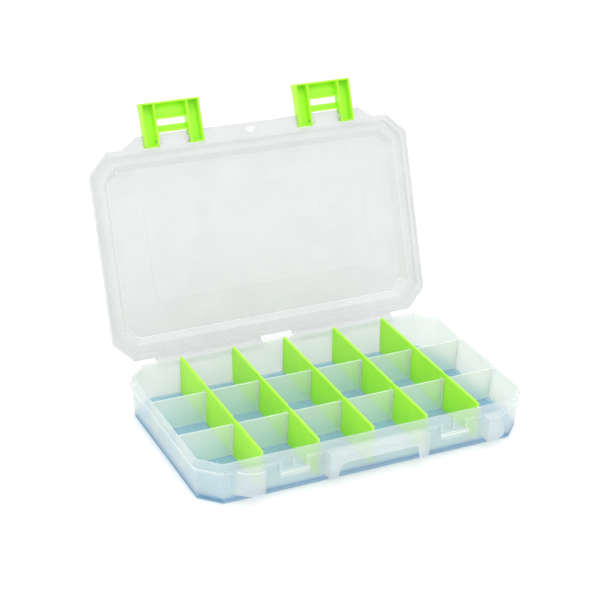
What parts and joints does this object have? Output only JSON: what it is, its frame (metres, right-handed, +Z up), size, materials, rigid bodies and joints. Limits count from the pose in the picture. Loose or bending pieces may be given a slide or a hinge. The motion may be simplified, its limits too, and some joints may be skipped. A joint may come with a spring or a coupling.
{
  "type": "tackle box",
  "caption": "Flat clear tackle box with a hinged lid on flexible strips, two swinging green latches, a soft blue liner and lift-out dividers that make small cells.",
  "frame": {"origin": "centre of the tray's flat underside", "axes": "+X to the right along the front, +Y from the latches back to the hinge, +Z up"},
  "size_m": [0.276, 0.2552, 0.2181],
  "materials": {
    "clear_plastic": "natural translucent polypropylene, lightly frosted",
    "clear_divider": "natural translucent polypropylene",
    "green_divider": "moulded lime green, satin",
    "green_latch": "moulded lime green, satin",
    "blue_gel": "soft translucent blue elastomer"
  },
  "bodies": {
    "tray": {"tray": "clear_plastic", "gel_liner": "blue_gel"},
    "hinge_strip": {"hinge_strip_left": "clear_plastic", "hinge_strip_right": "clear_plastic"},
    "lid": {"lid": "clear_plastic"},
    "latch_left": {"latch_left": "green_latch"},
    "latch_right": {"latch_right": "green_latch"},
    "long_divider_1": {"long_divider_1": "green_divider"},
    "long_divider_2": {"long_divider_2": "green_divider"},
    "long_divider_3": {"long_divider_3": "green_divider"},
    "long_divider_4": {"long_divider_4": "green_divider"},
    "long_divider_5": {"long_divider_5": "green_divider"},
    "short_divider_front_1": {"short_divider_front_1": "clear_divider"},
    "short_divider_front_2": {"short_divider_front_2": "clear_divider"},
    "short_divider_front_3": {"short_divider_front_3": "clear_divider"},
    "short_divider_front_4": {"short_divider_front_4": "clear_divider"},
    "short_divider_front_5": {"short_divider_front_5": "clear_divider"},
    "short_divider_front_6": {"short_divider_front_6": "clear_divider"},
    "short_divider_back_1": {"short_divider_back_1": "clear_divider"},
    "short_divider_back_2": {"short_divider_back_2": "clear_divider"},
    "short_divider_back_3": {"short_divider_back_3": "clear_divider"},
    "short_divider_back_4": {"short_divider_back_4": "clear_divider"},
    "short_divider_back_5": {"short_divider_back_5": "clear_divider"},
    "short_divider_back_6": {"short_divider_back_6": "clear_divider"}
  },
  "joints": [
    {"name": "strip_bend", "type": "hinge", "parent": "tray", "child": "hinge_strip", "pos_m": [0, 0.0834, 0.0267], "axis": [-1, 0, 0], "range_deg": [-65, 41.12]},
    {"name": "lid_hinge", "type": "hinge", "parent": "hinge_strip", "child": "lid", "pos_m": [0, 0.09083, 0.03017], "axis": [-1, 0, 0], "range_deg": [-45.21, 28.61]},
    {"name": "latch_left_swing", "type": "hinge", "parent": "lid", "child": "latch_left", "pos_m": [-0.066, 0.14735, 0.1887], "axis": [-1, 0, 0], "range_deg": [-92, 28]},
    {"name": "latch_right_swing", "type": "hinge", "parent": "lid", "child": "latch_right", "pos_m": [0.066, 0.14735, 0.1887], "axis": [-1, 0, 0], "range_deg": [-92, 28]},
    {"name": "long_divider_1_lift", "type": "slide", "parent": "tray", "child": "long_divider_1", "axis": [0, 0, 1], "range_m": [0, 0.034]},
    {"name": "long_divider_2_lift", "type": "slide", "parent": "tray", "child": "long_divider_2", "axis": [0, 0, 1], "range_m": [0, 0.034]},
    {"name": "long_divider_3_lift", "type": "slide", "parent": "tray", "child": "long_divider_3", "axis": [0, 0, 1], "range_m": [0, 0.034]},
    {"name": "long_divider_4_lift", "type": "slide", "parent": "tray", "child": "long_divider_4", "axis": [0, 0, 1], "range_m": [0, 0.034]},
    {"name": "long_divider_5_lift", "type": "slide", "parent": "tray", "child": "long_divider_5", "axis": [0, 0, 1], "range_m": [0, 0.034]},
    {"name": "short_divider_front_1_lift", "type": "slide", "parent": "tray", "child": "short_divider_front_1", "axis": [0, 0, 1], "range_m": [0, 0.034]},
    {"name": "short_divider_front_2_lift", "type": "slide", "parent": "tray", "child": "short_divider_front_2", "axis": [0, 0, 1], "range_m": [0, 0.034]},
    {"name": "short_divider_front_3_lift", "type": "slide", "parent": "tray", "child": "short_divider_front_3", "axis": [0, 0, 1], "range_m": [0, 0.034]},
    {"name": "short_divider_front_4_lift", "type": "slide", "parent": "tray", "child": "short_divider_front_4", "axis": [0, 0, 1], "range_m": [0, 0.034]},
    {"name": "short_divider_front_5_lift", "type": "slide", "parent": "tray", "child": "short_divider_front_5", "axis": [0, 0, 1], "range_m": [0, 0.034]},
    {"name": "short_divider_front_6_lift", "type": "slide", "parent": "tray", "child": "short_divider_front_6", "axis": [0, 0, 1], "range_m": [0, 0.034]},
    {"name": "short_divider_back_1_lift", "type": "slide", "parent": "tray", "child": "short_divider_back_1", "axis": [0, 0, 1], "range_m": [0, 0.034]},
    {"name": "short_divider_back_2_lift", "type": "slide", "parent": "tray", "child": "short_divider_back_2", "axis": [0, 0, 1], "range_m": [0, 0.034]},
    {"name": "short_divider_back_3_lift", "type": "slide", "parent": "tray", "child": "short_divider_back_3", "axis": [0, 0, 1], "range_m": [0, 0.034]},
    {"name": "short_divider_back_4_lift", "type": "slide", "parent": "tray", "child": "short_divider_back_4", "axis": [0, 0, 1], "range_m": [0, 0.034]},
    {"name": "short_divider_back_5_lift", "type": "slide", "parent": "tray", "child": "short_divider_back_5", "axis": [0, 0, 1], "range_m": [0, 0.034]},
    {"name": "short_divider_back_6_lift", "type": "slide", "parent": "tray", "child": "short_divider_back_6", "axis": [0, 0, 1], "range_m": [0, 0.034]}
  ],
  "couplings": [
    {"joint": "lid_hinge", "follows": "strip_bend", "ratio": 0.69539}
  ]
}
